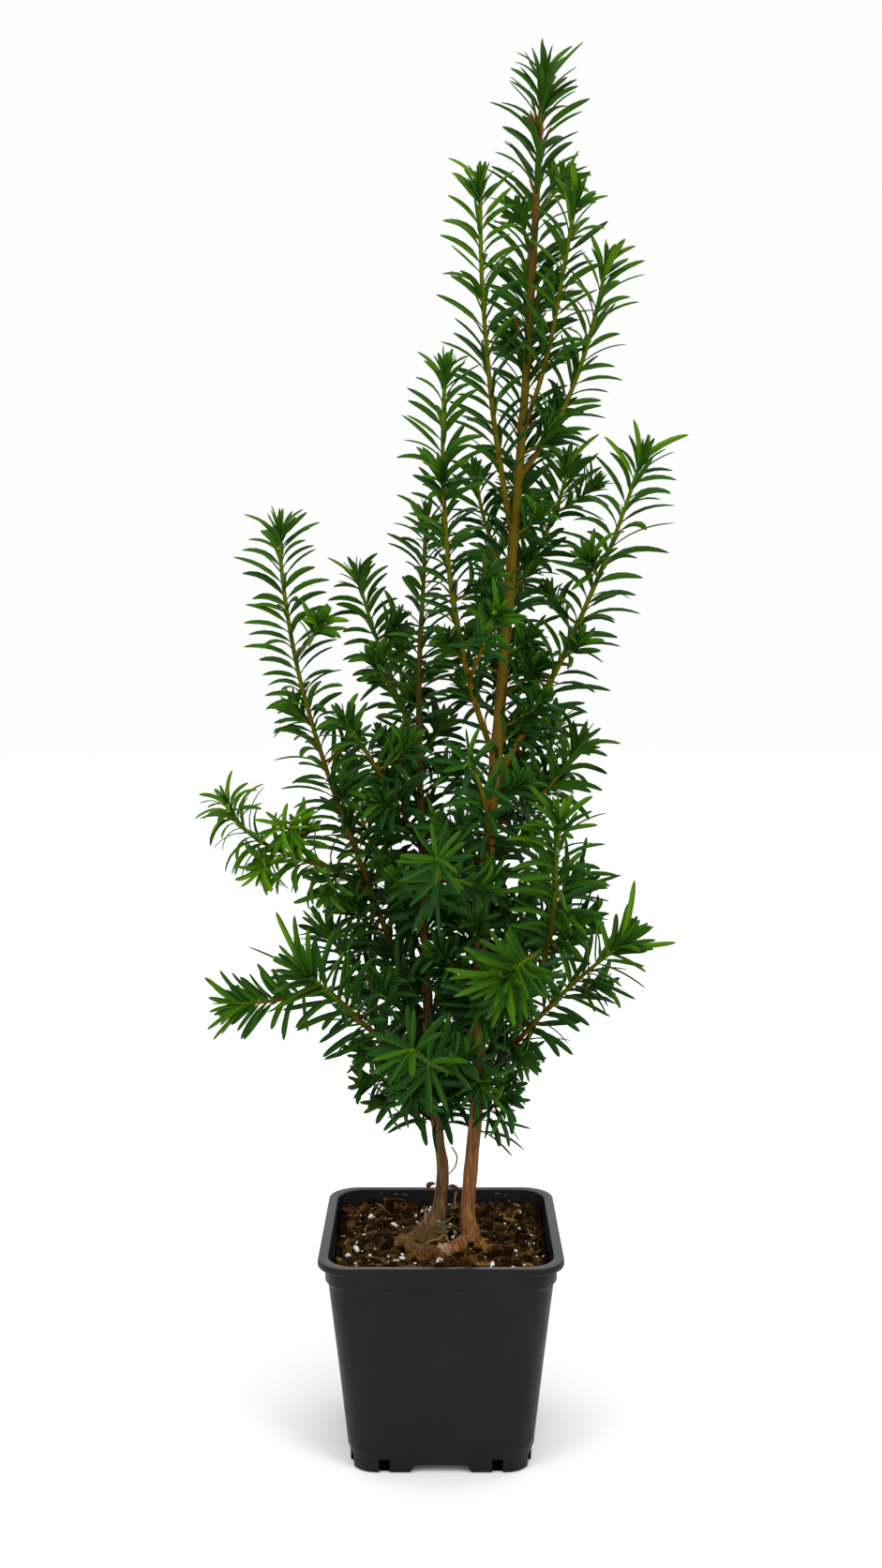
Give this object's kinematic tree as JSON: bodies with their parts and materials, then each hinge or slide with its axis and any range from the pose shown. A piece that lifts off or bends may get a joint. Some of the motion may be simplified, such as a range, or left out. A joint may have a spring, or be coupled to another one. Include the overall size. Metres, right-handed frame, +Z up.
{
  "type": "potted english yew",
  "caption": "Young yew with two slim stems, upright needle-leaved shoots and a square black nursery pot.",
  "frame": {"origin": "centre of the pot's underside on the floor, below the middle of the pot", "axes": "+Z up along the plant; +X to the viewer's right and -Y toward the viewer, square to the pot's sides"},
  "size_m": [0.1763, 0.1603, 0.526],
  "materials": {
    "pot_plastic": "matt charcoal black plastic with a faint sheen on the lip",
    "soil_peat": "damp fibrous potting soil with white perlite grains",
    "bark_main": "smooth warm brown young bark",
    "bark_left": "greyer brown young bark",
    "needles": "glossy green needles, lighter at the shoot tips"
  },
  "bodies": {
    "root": {"pot": "pot_plastic", "soil": "soil_peat", "trunk_main": "bark_main", "trunk_left": "bark_left", "root_crown": "bark_left", "bough_centre_left": "bark_main", "bough_left_back": "bark_main", "bough_left_drooping": "bark_main", "bough_left_tall": "bark_main", "bough_low_left": "bark_main", "bough_low_right": "bark_main", "bough_right_front": "bark_main", "bough_right_tall": "bark_main", "bough_top_left": "bark_main", "bough_upper_right_inner": "bark_main", "foliage_leader": "needles", "foliage_main_stem_high": "needles", "foliage_main_stem_middle": "needles", "foliage_main_stem_low": "needles", "foliage_left_stem_tip": "needles", "foliage_left_stem_middle": "needles", "foliage_left_stem_low": "needles", "foliage_top_left": "needles", "foliage_top_small_left": "needles", "foliage_top_small_right": "needles", "foliage_upper_right_inner": "needles", "foliage_upper_right": "needles", "foliage_centre_left": "needles", "foliage_upper_back_left": "needles", "foliage_right_tall": "needles", "foliage_right_back": "needles", "foliage_left_tall": "needles", "foliage_left_tall_side": "needles", "foliage_left_back": "needles", "foliage_left_inner": "needles", "foliage_left_drooping": "needles", "foliage_low_left": "needles", "foliage_low_left_tip": "needles", "foliage_left_low_back": "needles", "foliage_low_right": "needles", "foliage_right_low_back": "needles", "foliage_right_front": "needles", "foliage_right_mid": "needles", "foliage_centre_front": "needles", "foliage_front_left": "needles", "foliage_front_low_left": "needles", "foliage_front_right": "needles", "foliage_front_mid": "needles", "foliage_back_low_right": "needles", "foliage_back_low_left": "needles", "foliage_back_low_middle": "needles", "foliage_back_mid": "needles", "foliage_back_mid_left": "needles", "foliage_back_mid_right": "needles", "foliage_back_high": "needles", "foliage_back_left_high": "needles", "foliage_back_top": "needles"}
  },
  "joints": []
}
